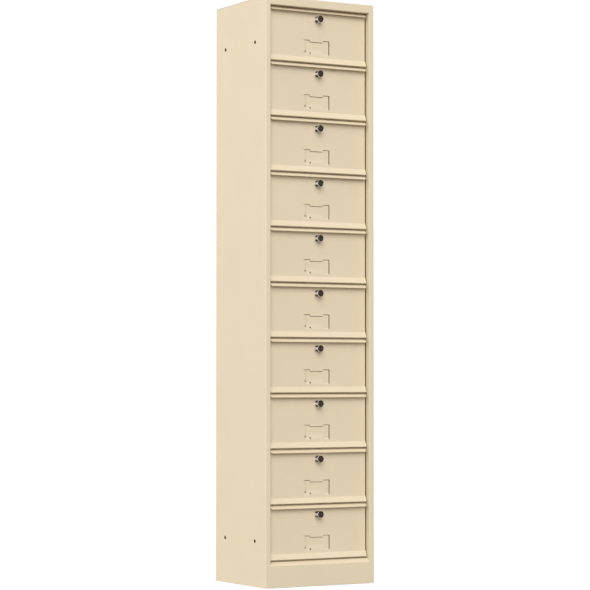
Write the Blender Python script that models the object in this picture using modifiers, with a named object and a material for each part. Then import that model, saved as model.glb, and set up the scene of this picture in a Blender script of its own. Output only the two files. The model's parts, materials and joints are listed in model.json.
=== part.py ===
"""Flap door mail sorter: a narrow sheet-steel column of stacked compartments.

Each compartment has a drop-front flap that turns on a rod rolled into its lower edge. A sloped pull runs
along the flap's top edge, a label pocket is pressed into its face, and a cam lock near the top turns
its cam up behind the front flange of the shelf above.

Metres, +Z up. The front faces -Y, and the origin is at the bottom centre of the whole object.
"""

import math

import bmesh
import bpy
from mathutils import Matrix, Vector

# Column
WIDTH = 0.3425
DEPTH = 0.2805
FLAP_COUNT = 10
FLAP_PITCH = 0.150
LOWEST_GAP = 0.0702
HEADER_RISE = 0.0236
SHEET = 0.001
BEND_RADIUS = 0.0015
BEND_STEP = math.radians(30)
CLEARANCE = 0.0003

# Casing
STILE_WIDTH = 0.015
REAR_FLANGE = 0.015
SEAM_SETBACK = 0.004
HEADER_HEIGHT = 0.0227
TOP_REAR_LIP = 0.018
PLINTH_HEIGHT = 0.0584
PLINTH_FLANGE = 0.022
SILL_DROP = 0.002
SILL_RUN = 0.0135
JOIN_HOLE_RADIUS = 0.004
JOIN_HOLE_FROM_FRONT = 0.0604
JOIN_HOLE_FROM_BACK = 0.0534
JOIN_HOLE_FROM_FLOOR = 0.1228
JOIN_HOLE_FROM_TOP = 0.1203

# Shelves, measured from the middle of the gap below each flap
SHELF_RISE = 0.008
STRIKE_DROP = 0.009
STRIKE_SETBACK = 0.0045

# Flaps
FLAP_SIDE_GAP = 0.0027
FLAP_RECESS = 0.0162
FLAP_TOP_GAP = 0.0011
PULL_REACH = 0.0117
PULL_DROP = 0.0107
PULL_TAPER = 0.0045
PULL_TAPER_RISE = 0.0072
LIP_TOP = 0.0184
SIDE_FLANGE = 0.010
SIDE_FLANGE_SETBACK = 0.004
ROD_RADIUS = 0.002
ROD_OVERRUN = 0.001
ROD_SIDES = 10
ROLL_SETBACK = 0.010
ROLL_LIFT = 0.002
ROLL_TURN = math.radians(277)
ROLL_STEPS = 10

# Label pocket, measured from the middle of the gap above the flap
LABEL_DROP = 0.0861
LABEL_WIDTH = 0.079
LABEL_HEIGHT = 0.0385
LABEL_SHIFT = -0.0025
LABEL_SINK = 0.6 * SHEET
LABEL_SLIT = 0.0013
LABEL_LAP = 0.0015
SCOOP_WIDTH = 0.042
SCOOP_DEPTH = 0.0047
SCOOP_SLOPE = 0.003

# Cam locks
LOCK_DROP = 0.0275
LOCK_PROUD = 0.0175
LOCK_BEZEL_RADIUS = 0.0088
LOCK_BEZEL = 0.0035
LOCK_NECK_RADIUS = 0.0083
LOCK_ROUNDING = 0.0008
LOCK_BODY_RADIUS = 0.007
LOCK_SIDES = 16
NUT_ACROSS_FLATS = 0.019
NUT_THICKNESS = 0.0025
PLUG_RADIUS = 0.0054
PLUG_FACE_RADIUS = 0.0074
PLUG_FACE = 0.003
PLUG_SINK = 0.0004
KEYWAY_WIDTH = 0.0012
KEYWAY_HEIGHT = 0.007
KEYWAY_DEPTH = 0.006
CAM_WIDTH = 0.012
CAM_THICKNESS = 0.002
CAM_OVERLAP = 0.006
CAM_STEPS = 6
CAM_SCREW_RADIUS = 0.004
CAM_SCREW_HEAD = 0.0015

# Making: how far a cutter runs past the metal, what counts as one point, and what shades as one surface
CUT_SPARE = 0.002
WELD = 1e-6
SMOOTH_ANGLE = math.radians(35)

# Places that follow from the sizes above; a depth is counted back from the casing's front plane
HEIGHT = LOWEST_GAP + FLAP_COUNT * FLAP_PITCH + HEADER_RISE
LOCK_OVERHANG = max(0.0, LOCK_PROUD - FLAP_RECESS)
FRONT_Y = -(DEPTH - LOCK_OVERHANG) / 2
BACK_Y = FRONT_Y + DEPTH
SIDE_X = WIDTH / 2
OPENING_X = SIDE_X - STILE_WIDTH
CAP_UNDER = HEIGHT - SHEET
BEND_SETBACK = SHEET / 2 + BEND_RADIUS
STRIKE_FRONT = FLAP_RECESS + SHEET + STRIKE_SETBACK
STRIKE_Y = FRONT_Y + STRIKE_FRONT + SHEET / 2
ROLL_RADIUS = ROD_RADIUS + CLEARANCE + SHEET / 2
ROLL_OUTER = ROLL_RADIUS + SHEET / 2
AXIS_DEPTH = ROLL_SETBACK + ROLL_OUTER
AXIS_RISE = ROLL_LIFT + ROLL_OUTER
AXIS_Y = FRONT_Y + AXIS_DEPTH
FLAP_HALF = OPENING_X - FLAP_SIDE_GAP
NEXT_GAP = FLAP_PITCH - AXIS_RISE
LOCK_Z = NEXT_GAP - LOCK_DROP
LOCK_Y = FLAP_RECESS - AXIS_DEPTH
LOCK_BODY = SHEET + max(STRIKE_SETBACK + SHEET, CLEARANCE + NUT_THICKNESS + CLEARANCE)
CAM_REACH = LOCK_DROP - STRIKE_DROP + CAM_OVERLAP

PAINT = ("ivory_paint", (0.76, 0.66, 0.47), 0.45, 0.0)
CHROME = ("lock_chrome", (0.45, 0.44, 0.44), 0.18, 1.0)
DARK_METAL = ("lock_dark_metal", (0.06, 0.055, 0.06), 0.30, 1.0)
STEEL = ("hinge_rod_steel", (0.45, 0.44, 0.42), 0.35, 1.0)


def clear_scene():
    for obj in list(bpy.data.objects):
        bpy.data.objects.remove(obj, do_unlink=True)


def collection(name):
    made = bpy.data.collections.new(name)
    bpy.context.scene.collection.children.link(made)
    return made


def material(finish):
    """A Principled material from a (name, colour, roughness, metallic) finish, made once."""
    name, colour, roughness, metallic = finish
    made = bpy.data.materials.get(name)
    if made is None:
        made = bpy.data.materials.new(name)
        made.use_nodes = True
        shader = made.node_tree.nodes["Principled BSDF"]
        shader.inputs["Base Color"].default_value = (*colour, 1.0)
        shader.inputs["Roughness"].default_value = roughness
        shader.inputs["Metallic"].default_value = metallic
        made.diffuse_color = (*colour, 1.0)
    return made


def helper(name, bm):
    """A mesh object in the cutters' collection, left out of renders."""
    mesh = bpy.data.meshes.new(name)
    bm.to_mesh(mesh)
    bm.free()
    obj = bpy.data.objects.new(name, mesh)
    obj.hide_render = True
    obj.display_type = "WIRE"
    CUTTERS.objects.link(obj)
    return obj


def baked(obj):
    """The object's mesh with its modifiers applied; the object itself is removed."""
    bpy.context.view_layer.update()
    graph = bpy.context.evaluated_depsgraph_get()
    mesh = bpy.data.meshes.new_from_object(obj.evaluated_get(graph))
    mesh.transform(obj.matrix_world)
    mesh.name = obj.name
    mesh.shade_smooth()
    mesh.set_sharp_from_angle(angle=SMOOTH_ANGLE)
    bpy.data.objects.remove(obj, do_unlink=True)
    return mesh


def node(name, mesh, finish, parent=None, location=(0, 0, 0)):
    """A finished piece: one object with one material, in the sorter's collection."""
    if not mesh.materials:
        mesh.materials.append(material(finish))
    obj = bpy.data.objects.new(name, mesh)
    obj.parent = parent
    obj.location = location
    SORTER.objects.link(obj)
    return obj


def pivot(name, location):
    empty = bpy.data.objects.new(name, None)
    empty.empty_display_size = SIDE_FLANGE
    empty.location = location
    SORTER.objects.link(empty)
    return empty


def combine(obj, other, operation):
    """Joins another helper to this one, or cuts it away, and uses the other one up."""
    boolean = obj.modifiers.new(other.name, "BOOLEAN")
    boolean.operation = operation
    boolean.object = other
    name = obj.name
    mesh = baked(obj)
    bpy.data.objects.remove(other, do_unlink=True)
    made = bpy.data.objects.new(name, mesh)
    made.hide_render = True
    CUTTERS.objects.link(made)
    return made


def box(name, *spans):
    """One block for each (low, high) pair of corners, all in one helper."""
    bm = bmesh.new()
    for low, high in spans:
        low, high = Vector(low), Vector(high)
        size = Matrix.Diagonal((*(high - low), 1.0))
        bmesh.ops.create_cube(bm, size=1.0, matrix=Matrix.Translation((low + high) / 2) @ size)
    return helper(name, bm)


def cylinder(name, radius, length, centres, along, sides):
    """One round bar for each centre, lying along X or Y, all in one helper."""
    turn = Matrix.Rotation(math.pi / 2, 4, "Y" if along == "X" else "X")
    bm = bmesh.new()
    for centre in centres:
        bmesh.ops.create_cone(bm, cap_ends=True, segments=sides, radius1=radius, radius2=radius,
                              depth=length, matrix=Matrix.Translation(centre) @ turn)
    return helper(name, bm)


def bent(points, radius=BEND_RADIUS):
    """The path with each corner turned into an arc, as a press brake bends it."""
    points = [Vector(point) for point in points]
    path = [points[0]]
    for before, corner, after in zip(points, points[1:], points[2:]):
        back = (before - corner).normalized()
        ahead = (after - corner).normalized()
        half = back.angle(ahead) / 2
        centre = corner + (back + ahead).normalized() * radius / math.sin(half)
        spoke = corner + back * radius / math.tan(half) - centre
        left_turn = ahead.x * back.y - ahead.y * back.x > 0
        sweep = (math.pi - 2 * half) * (1 if left_turn else -1)
        steps = math.ceil(abs(sweep) / BEND_STEP - WELD)
        path += [centre + Matrix.Rotation(sweep * step / steps, 2) @ spoke for step in range(steps + 1)]
    return path + [points[-1]]


def folded_sheet(name, path, low, high, along):
    """A sheet SHEET thick whose middle follows a path of (y, z) run along X, or (x, y) run along Z."""
    bm = bmesh.new()
    if along == "X":
        row = [bm.verts.new((low, y, z)) for y, z in path]
        run = (high - low, 0, 0)
    else:
        row = [bm.verts.new((x, y, low)) for x, y in path]
        run = (0, 0, high - low)
    for one, other in zip(row, row[1:]):
        bm.edges.new((one, other))
    swept = bmesh.ops.extrude_edge_only(bm, edges=bm.edges[:])["geom"]
    far = [item for item in swept if isinstance(item, bmesh.types.BMVert)]
    bmesh.ops.translate(bm, verts=far, vec=run)
    bmesh.ops.recalc_face_normals(bm, faces=bm.faces)
    obj = helper(name, bm)
    solidify = obj.modifiers.new("sheet", "SOLIDIFY")
    solidify.thickness = SHEET
    solidify.offset = 0
    solidify.use_even_offset = True
    return obj


def plate(name, outline, front, back):
    """A flat outline of (x, z) points, thick from the front to the back along Y."""
    curve = bpy.data.curves.new(name, "CURVE")
    curve.dimensions = "2D"
    curve.fill_mode = "BOTH"
    curve.extrude = (back - front) / 2
    spline = curve.splines.new("POLY")
    spline.points.add(len(outline) - 1)
    for point, (x, z) in zip(spline.points, outline):
        point.co = (x, z, 0, 1)
    spline.use_cyclic_u = True
    obj = bpy.data.objects.new(name, curve)
    CUTTERS.objects.link(obj)
    upright = Matrix.Rotation(math.pi / 2, 4, "X")
    obj.matrix_world = Matrix.Translation((0, (front + back) / 2, 0)) @ upright
    bm = bmesh.new()
    bm.from_mesh(baked(obj))
    bmesh.ops.remove_doubles(bm, verts=bm.verts, dist=WELD)
    return helper(name, bm)


def turned(name, profile, sides):
    """A profile of (radius, forward reach) points, listed front to back, turned about the Y axis."""
    bm = bmesh.new()
    row = [bm.verts.new((radius, 0, reach)) for radius, reach in profile]
    for one, other in zip(row, row[1:]):
        bm.edges.new((one, other))
    obj = helper(name, bm)
    screw = obj.modifiers.new("turn", "SCREW")
    screw.steps = sides
    screw.render_steps = sides
    screw.use_merge_vertices = True
    screw.merge_threshold = WELD
    obj.matrix_world = Matrix.Rotation(math.pi / 2, 4, "X")
    bm = bmesh.new()
    bm.from_mesh(baked(obj))
    return helper(name, bm)


def gap_height(row):
    """The middle of the gap below a flap, counted from the lowest flap."""
    return LOWEST_GAP + row * FLAP_PITCH


def side_panels(side, hand):
    """One side: a flat wall between the front stile, folded into its inner return, and the rear flange.

    The stile and the flange each hold their own bend and meet the wall in a butt seam.
    """
    wall = hand * (SIDE_X - SHEET / 2)
    inner = hand * (OPENING_X + SHEET / 2)
    front = FRONT_Y + SHEET / 2
    rear = BACK_Y - SHEET / 2
    front_seam = FRONT_Y + SEAM_SETBACK
    rear_seam = BACK_Y - SEAM_SETBACK
    height = CAP_UNDER - CLEARANCE
    through = SHEET + 2 * CUT_SPARE

    x_low, x_high = sorted((hand * (SIDE_X - SHEET), hand * SIDE_X))
    panel = box(f"side_{side}", ((x_low, front_seam + CLEARANCE, 0), (x_high, rear_seam - CLEARANCE, height)))
    joins = [(wall, y, z) for y in (FRONT_Y + JOIN_HOLE_FROM_FRONT, BACK_Y - JOIN_HOLE_FROM_BACK)
             for z in (JOIN_HOLE_FROM_FLOOR, HEIGHT - JOIN_HOLE_FROM_TOP)]
    panel = combine(panel, cylinder("join_holes", JOIN_HOLE_RADIUS, through, joins, "X", LOCK_SIDES),
                    "DIFFERENCE")
    node(f"side_{side}", baked(panel), PAINT)

    path = bent([(inner, FRONT_Y + STRIKE_FRONT - CLEARANCE), (inner, front), (wall, front), (wall, front_seam)])
    stile = folded_sheet(f"stile_{side}", path, 0, height, "Z")
    rods = [(inner, AXIS_Y, gap_height(row) + AXIS_RISE) for row in range(FLAP_COUNT)]
    stile = combine(stile, cylinder("rod_holes", ROD_RADIUS + CLEARANCE, through, rods, "X", ROD_SIDES),
                    "DIFFERENCE")
    node(f"stile_{side}", baked(stile), PAINT)

    path = bent([(wall, rear_seam), (wall, rear), (hand * (SIDE_X - REAR_FLANGE), rear)])
    node(f"rear_flange_{side}", baked(folded_sheet(f"rear_flange_{side}", path, 0, height, "Z")), PAINT)


def back_panel():
    """A flat sheet inside the rear flanges, clear of their bends."""
    rear = BACK_Y - SHEET - CLEARANCE
    half = SIDE_X - BEND_SETBACK - CLEARANCE
    top = HEIGHT - BEND_SETBACK - CLEARANCE
    sheet = box("back_panel", ((-half, rear - SHEET, CLEARANCE), (half, rear, top)))
    node("back_panel", baked(sheet), PAINT)


def top_panel():
    """The cap, with its front folded into the header, the header's underside and the top flap's strike."""
    front = FRONT_Y + SHEET / 2
    rear = BACK_Y - SHEET / 2
    top = HEIGHT - SHEET / 2
    under = HEIGHT - HEADER_HEIGHT + SHEET / 2
    strike_end = gap_height(FLAP_COUNT) - STRIKE_DROP
    path = bent([(STRIKE_Y, strike_end), (STRIKE_Y, under), (front, under), (front, top), (rear, top),
                 (rear, HEIGHT - TOP_REAR_LIP)])
    panel = folded_sheet("top_panel", path, -SIDE_X, SIDE_X, "X")
    # The cap covers the stiles and rear flanges; below it the folds fit between them.
    cut_top = CAP_UNDER + SHEET / 10
    front_end = STRIKE_Y + SHEET + CUT_SPARE
    rear_end = BACK_Y - SHEET - CUT_SPARE
    notches = []
    for hand in (-1, 1):
        outer = hand * (SIDE_X + CUT_SPARE)
        for near, inner, y_low, y_high in (
            (strike_end, OPENING_X - CLEARANCE, FRONT_Y - CUT_SPARE, front_end),
            (HEIGHT - TOP_REAR_LIP, SIDE_X - REAR_FLANGE - CLEARANCE, rear_end, BACK_Y + CUT_SPARE),
        ):
            x_low, x_high = sorted((hand * inner, outer))
            notches.append(((x_low, y_low, near - CUT_SPARE), (x_high, y_high, cut_top)))
    panel = combine(panel, box("corner_notches", *notches), "DIFFERENCE")
    node("top_panel", baked(panel), PAINT)


def plinth():
    """The plinth's face, folded in along the floor and sloped back into the sill under the lowest flap."""
    front = FRONT_Y + SHEET / 2
    sill = LOWEST_GAP - SILL_DROP - SHEET / 2
    path = bent([(FRONT_Y + PLINTH_FLANGE, SHEET / 2), (front, SHEET / 2), (front, PLINTH_HEIGHT),
                 (front + SILL_RUN, sill), (FRONT_Y + STRIKE_FRONT - CLEARANCE, sill)], SHEET)
    half = OPENING_X - CLEARANCE
    node("plinth", baked(folded_sheet("plinth", path, -half, half, "X")), PAINT)


def shelf_mesh():
    """A shelf about the middle of its gap; its front flange is the strike for the lock below."""
    floor = SHELF_RISE - SHEET / 2
    rear = BACK_Y - 2 * SHEET - 2 * CLEARANCE
    half = SIDE_X - SHEET - CLEARANCE
    path = bent([(STRIKE_Y, -STRIKE_DROP), (STRIKE_Y, floor), (rear, floor)])
    return baked(folded_sheet("shelf", path, -half, half, "X"))


def label_outline(left, right, bottom, top, inset):
    """A rectangle whose top edge dips in the middle for a thumb; inset narrows the dip on both sides."""
    dip = top - SCOOP_DEPTH
    mouth = SCOOP_WIDTH / 2 - inset
    foot = mouth - SCOOP_SLOPE
    scoop = [(LABEL_SHIFT + mouth, top), (LABEL_SHIFT + foot, dip), (LABEL_SHIFT - foot, dip),
             (LABEL_SHIFT - mouth, top)]
    return [(left, bottom), (right, bottom), (right, top)] + scoop + [(left, top)]


def flap_path():
    """The flap's section about its hinge axis: pull, face, lip and the roll that wraps the rod."""
    face_y = LOCK_Y + SHEET / 2
    edge = (LOCK_Y - PULL_REACH, NEXT_GAP - PULL_DROP)
    crest = (face_y, NEXT_GAP - FLAP_TOP_GAP)
    lip = Vector((face_y, LIP_TOP - AXIS_RISE))
    start = math.atan2(lip.y, lip.x) + math.acos(ROLL_RADIUS / lip.length)
    turns = [start + ROLL_TURN * step / ROLL_STEPS for step in range(ROLL_STEPS + 1)]
    roll = [(ROLL_RADIUS * math.cos(turn), ROLL_RADIUS * math.sin(turn)) for turn in turns]
    return bent([edge, crest, lip, roll[0]]) + roll[1:]


def pull_tapers():
    """Wedges that take the corners off both ends of the pull, ahead of the flap's face."""
    slope = Vector((PULL_TAPER, PULL_TAPER_RISE))
    start = Vector((FLAP_HALF - PULL_TAPER, NEXT_GAP - PULL_DROP)) - slope
    # The wedge runs one whole slope past the cut, below and above it.
    end = start + 3 * slope
    front = LOCK_Y - PULL_REACH - CUT_SPARE
    back = LOCK_Y - CLEARANCE
    wedge = [start, (end.x, start.y), end]
    mirrored = [(-x, z) for x, z in reversed(wedge)]
    return plate("taper_right", wedge, front, back), plate("taper_left", mirrored, front, back)


def flap_mesh():
    """A flap about its hinge axis."""
    flap = folded_sheet("flap", flap_path(), -FLAP_HALF, FLAP_HALF, "X")
    face_y = LOCK_Y + SHEET / 2
    flange_low = LIP_TOP - AXIS_RISE + SIDE_FLANGE_SETBACK
    flange_high = NEXT_GAP - STRIKE_DROP - SIDE_FLANGE_SETBACK
    flanges = []
    for hand in (-1, 1):
        x_low, x_high = sorted((hand * (FLAP_HALF - CLEARANCE), hand * (FLAP_HALF - CLEARANCE - SHEET)))
        flanges.append(((x_low, face_y, flange_low), (x_high, LOCK_Y + SHEET + SIDE_FLANGE, flange_high)))
    flap = combine(flap, box("side_flanges", *flanges), "UNION")
    for taper in pull_tapers():
        flap = combine(flap, taper, "DIFFERENCE")
    hole = cylinder("lock_hole", LOCK_BODY_RADIUS + CLEARANCE, SHEET + 2 * CUT_SPARE, [(0, face_y, LOCK_Z)],
                    "Y", LOCK_SIDES)
    flap = combine(flap, hole, "DIFFERENCE")
    left = LABEL_SHIFT - LABEL_WIDTH / 2
    right = LABEL_SHIFT + LABEL_WIDTH / 2
    top = NEXT_GAP - LABEL_DROP
    bottom = top - LABEL_HEIGHT
    window = label_outline(left + LABEL_LAP, right + LABEL_SLIT, bottom + LABEL_LAP, top + LABEL_SLIT,
                           LABEL_SLIT / 2)
    window = plate("label_window", window, LOCK_Y - CUT_SPARE, LOCK_Y + SHEET + CUT_SPARE)
    flap = combine(flap, window, "DIFFERENCE")
    pocket = label_outline(left, right, bottom, top, 0)
    pocket_front = LOCK_Y + LABEL_SINK
    pocket = plate("label_pocket", pocket, pocket_front, pocket_front + SHEET)
    return baked(combine(flap, pocket, "UNION"))


def housing_mesh():
    """A lock's housing about the lock axis at the flap's face: bezel, neck, body and nut, bored for the plug."""
    bezel_back = LOCK_PROUD - LOCK_BEZEL
    profile = [(0, LOCK_PROUD), (LOCK_BEZEL_RADIUS - LOCK_ROUNDING, LOCK_PROUD),
               (LOCK_BEZEL_RADIUS, LOCK_PROUD - LOCK_ROUNDING), (LOCK_BEZEL_RADIUS, bezel_back),
               (LOCK_NECK_RADIUS, bezel_back), (LOCK_NECK_RADIUS, CLEARANCE),
               (LOCK_BODY_RADIUS, CLEARANCE), (LOCK_BODY_RADIUS, -LOCK_BODY), (0, -LOCK_BODY)]
    housing = turned("housing", profile, LOCK_SIDES)
    nut_middle = SHEET + CLEARANCE + NUT_THICKNESS / 2
    nut = cylinder("nut", NUT_ACROSS_FLATS / math.sqrt(3), NUT_THICKNESS, [(0, nut_middle, 0)], "Y", 6)
    housing = combine(housing, nut, "UNION")
    mouth = LOCK_PROUD + CUT_SPARE
    seat = LOCK_PROUD - PLUG_SINK - PLUG_FACE - CLEARANCE
    rear = -LOCK_BODY - CUT_SPARE
    bore = [(0, mouth), (PLUG_FACE_RADIUS + CLEARANCE, mouth), (PLUG_FACE_RADIUS + CLEARANCE, seat),
            (PLUG_RADIUS + CLEARANCE, seat), (PLUG_RADIUS + CLEARANCE, rear), (0, rear)]
    return baked(combine(housing, turned("bore", bore, LOCK_SIDES), "DIFFERENCE"))


def cam_outline():
    """A round-ended arm from the lock axis out along +X."""
    half = CAM_WIDTH / 2
    far = CAM_REACH - half
    arc = [math.pi * (step / CAM_STEPS - 0.5) for step in range(CAM_STEPS + 1)]
    tip = [(far + half * math.cos(angle), half * math.sin(angle)) for angle in arc]
    hub = [(-half * math.cos(angle), -half * math.sin(angle)) for angle in arc]
    return tip + hub


def barrel_mesh():
    """A lock's barrel about the lock axis: the keyed plug, and the cam with its screw behind the nut."""
    face = LOCK_PROUD - PLUG_SINK
    cam_front = LOCK_BODY + CLEARANCE
    cam_back = cam_front + CAM_THICKNESS
    plug_end = cam_front + CAM_THICKNESS / 2
    profile = [(0, face), (PLUG_FACE_RADIUS, face), (PLUG_FACE_RADIUS, face - PLUG_FACE),
               (PLUG_RADIUS, face - PLUG_FACE), (PLUG_RADIUS, -plug_end), (0, -plug_end)]
    plug = turned("barrel", profile, LOCK_SIDES)
    keyway = box("keyway", ((-KEYWAY_WIDTH / 2, -face - CUT_SPARE, -KEYWAY_HEIGHT / 2),
                            (KEYWAY_WIDTH / 2, KEYWAY_DEPTH - face, KEYWAY_HEIGHT / 2)))
    plug = combine(plug, keyway, "DIFFERENCE")
    plug = combine(plug, plate("cam", cam_outline(), cam_front, cam_back), "UNION")
    screw_front = cam_back - CAM_THICKNESS / 2
    screw_back = cam_back + CAM_SCREW_HEAD
    middle = (0, (screw_front + screw_back) / 2, 0)
    screw = cylinder("cam_screw", CAM_SCREW_RADIUS, screw_back - screw_front, [middle], "Y", ROD_SIDES)
    return baked(combine(plug, screw, "UNION"))


def rod_mesh():
    length = 2 * (OPENING_X + SHEET + ROD_OVERRUN)
    return baked(cylinder("rod", ROD_RADIUS, length, [(0, 0, 0)], "X", ROD_SIDES))


def casing():
    side_panels("left", -1)
    side_panels("right", 1)
    back_panel()
    top_panel()
    plinth()
    shelf = shelf_mesh()
    for row in range(FLAP_COUNT):
        name = f"shelf_{row}" if row else "bottom_shelf"
        node(name, shelf, PAINT, location=(0, 0, gap_height(row)))


def flaps():
    """Each flap with its lock on a pivot empty at the hinge axis, numbered from the top."""
    flap, rod, housing, barrel = flap_mesh(), rod_mesh(), housing_mesh(), barrel_mesh()
    for number in range(1, FLAP_COUNT + 1):
        axis = (0, AXIS_Y, gap_height(FLAP_COUNT - number) + AXIS_RISE)
        hinge = pivot(f"flap_pivot_{number}", axis)
        node(f"hinge_rod_{number}", rod, STEEL, location=axis)
        node(f"flap_{number}", flap, PAINT, hinge)
        node(f"lock_housing_{number}", housing, CHROME, hinge, (0, LOCK_Y, LOCK_Z))
        node(f"lock_barrel_{number}", barrel, DARK_METAL, hinge, (0, LOCK_Y, LOCK_Z))


clear_scene()
SORTER = collection("flap_door_mail_sorter")
CUTTERS = collection("cutters")
casing()
flaps()
bpy.context.view_layer.update()
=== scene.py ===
"""Looks of the flap door mail sorter, laid out as an add-on and run as a script.

Every sheet piece is a flat lattice carried along a folded path and given its gauge by Solidify; every round
piece is a stack of loops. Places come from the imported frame, and sizes from the property groups below.
"""

import json
import math

import bmesh
import bpy
import numpy as np
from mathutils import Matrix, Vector


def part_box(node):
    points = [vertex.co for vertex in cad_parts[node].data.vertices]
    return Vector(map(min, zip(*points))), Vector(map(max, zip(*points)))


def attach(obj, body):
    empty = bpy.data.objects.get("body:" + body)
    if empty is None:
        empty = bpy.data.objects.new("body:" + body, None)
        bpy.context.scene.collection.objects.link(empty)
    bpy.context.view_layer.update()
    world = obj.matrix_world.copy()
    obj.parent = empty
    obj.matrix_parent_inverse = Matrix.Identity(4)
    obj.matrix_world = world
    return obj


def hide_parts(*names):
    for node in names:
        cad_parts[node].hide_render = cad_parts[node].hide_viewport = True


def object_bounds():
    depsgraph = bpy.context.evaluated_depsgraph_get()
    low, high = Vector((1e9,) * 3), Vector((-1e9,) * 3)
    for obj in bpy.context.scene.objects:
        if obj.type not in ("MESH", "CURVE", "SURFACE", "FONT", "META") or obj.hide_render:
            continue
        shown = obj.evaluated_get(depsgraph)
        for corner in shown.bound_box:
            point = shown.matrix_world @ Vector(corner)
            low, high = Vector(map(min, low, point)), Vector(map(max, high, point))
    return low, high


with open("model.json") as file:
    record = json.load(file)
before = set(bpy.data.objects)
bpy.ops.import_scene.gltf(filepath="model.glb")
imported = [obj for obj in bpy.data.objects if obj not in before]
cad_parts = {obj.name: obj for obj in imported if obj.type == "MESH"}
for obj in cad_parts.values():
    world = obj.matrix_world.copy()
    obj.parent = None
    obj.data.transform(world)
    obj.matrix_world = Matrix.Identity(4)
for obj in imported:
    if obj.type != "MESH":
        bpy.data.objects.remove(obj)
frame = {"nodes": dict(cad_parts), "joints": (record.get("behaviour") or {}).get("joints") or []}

bl_info = {
    "name": "Flap door mail sorter",
    "version": (1, 0, 0),
    "blender": (4, 5, 0),
    "location": "3D View > Sidebar > Mail sorter",
    "description": "Builds the visible pieces of a flap door mail sorter around its packed frame",
    "category": "Object",
}

CAD_BOX = [[float(value) for value in corner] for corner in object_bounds()]
JOINTS = {joint["name"]: joint for joint in frame["joints"]}
NUMBERS = range(1, 1 + sum(name.startswith("flap_") for name in frame["nodes"]))
CABINET = "cabinet"
SHELVES = ["bottom_shelf"] + [f"shelf_{number}" for number in NUMBERS[:-1]]

# How finely curves are drawn
BEND_STEPS = 5
CORNER_STEPS = 3
ROLL_STEPS = 40
RIM_STEPS = 8
SHELF_COLUMNS = 9
ROUND_STEPS = 64
ROD_STEPS = 32
DOME_STEPS = 6
FADE_STEPS = 6

# The square of lattice lines round a hole, in radii of the hole
ROD_HOLE_SQUARE = 1.45
JOINING_HOLE_SQUARE = 1.6
LOCK_HOLE_SQUARE = 1.35

# Edges and shading
EDGE_BREAK = 0.16  # width of a sheet's broken edges, in gauges
EDGE_SEGMENTS = 2
EDGE_ANGLE = math.radians(50)
FLAT_WEIGHT = 60  # of the weighted normals, out of 100
SHARP_ANGLE = math.radians(35)
CAP_BAND = 1.2  # how far below the top a face is still the cap's, in gauges

# Small forms of the rods and locks
ROD_CHAMFER = 0.25  # in rod radii
HEAD_EDGE = 0.00012  # rounding of the lock head's corners
NUT_CHAMFER = 0.6  # height of the nut's chamfer, in the overhang of its corners
PLUG_EDGE = 0.0003  # break of the plug's front edge, and depth of the round sink in its face
KEY_SINK = (0.62, 0.6, 0.56)  # the sink's rim, wall and floor, in keyway heights
KEY_FLARE = (1.25, 1.05)  # the keyway's mouth, in its widths and heights
KEY_FLARE_DEPTH = 0.0002
CAM_EDGE = 0.2  # break of the cam's rim, in its thickness
SCREW_SEAT = 0.25  # how deep the screw's head is let into the cam, in its thickness
SCREW_RIM = 0.35  # height of the screw head's straight rim, in the head's height
SCREW_DOME = 0.85  # how far the dome follows its quarter circle, in the circle's radius
SCREW_SLOT = (0.3, 0.95)  # the driving slot, in head radii
SCREW_SLOT_DEPTH = 0.4  # in the head's height

# Finishes
TONE_STOPS = (0.3, 0.7)  # noise and waves mostly lie between these
WAVE_PITCH = 2 * math.pi / 20  # from band to band of a wave texture at scale 1
NECK_REFLECTION_DARKNESS = 0.97  # how much darker the neck's painted dark reflection bands are
RIM_SHADE_DEPTH = 0.6  # painted shade: how much darker the plug's rim is than its middle
RIM_START = 0.3  # where the plug begins to darken, in radii of its face
MIX_SHARE, MIX_FIRST, MIX_SECOND, MIX_RESULT = 0, 6, 7, 2  # sockets of a colour mix, whose names repeat
WHITE = (1.0, 1.0, 1.0, 1.0)

TINY = 1e-6


# ---------------------------------------------------------------- sizes and colours

def kind_of(make, **options):
    """A maker of one kind of property from its default and description; named gives it its name."""
    return lambda default, description: (make, {"default": default, "description": description, **options})


distance = kind_of(bpy.props.FloatProperty, subtype="DISTANCE", unit="LENGTH", precision=4)
turning = kind_of(bpy.props.FloatProperty, subtype="ANGLE", unit="ROTATION")
share = kind_of(bpy.props.FloatProperty, subtype="FACTOR", min=0.0, max=1.0)
brightness = kind_of(bpy.props.FloatProperty, subtype="FACTOR", min=0.0, soft_max=5.0)
focal_length = kind_of(bpy.props.FloatProperty, unit="CAMERA")
colour = kind_of(bpy.props.FloatVectorProperty, subtype="COLOR", size=3, min=0.0, max=1.0)
direction = kind_of(bpy.props.FloatVectorProperty, subtype="DIRECTION", size=3)
position = kind_of(bpy.props.FloatVectorProperty, subtype="XYZ", unit="LENGTH", size=3, precision=4)


def angle(degrees, description):
    """An angle that a user may change, given here in degrees."""
    return turning(math.radians(degrees), description)


def named(group):
    """Make the properties of a group, each with its own key in words as its name."""
    for key, (make, options) in group.__annotations__.items():
        group.__annotations__[key] = make(name=key.replace("_", " ").capitalize(), **options)
    return group


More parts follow.
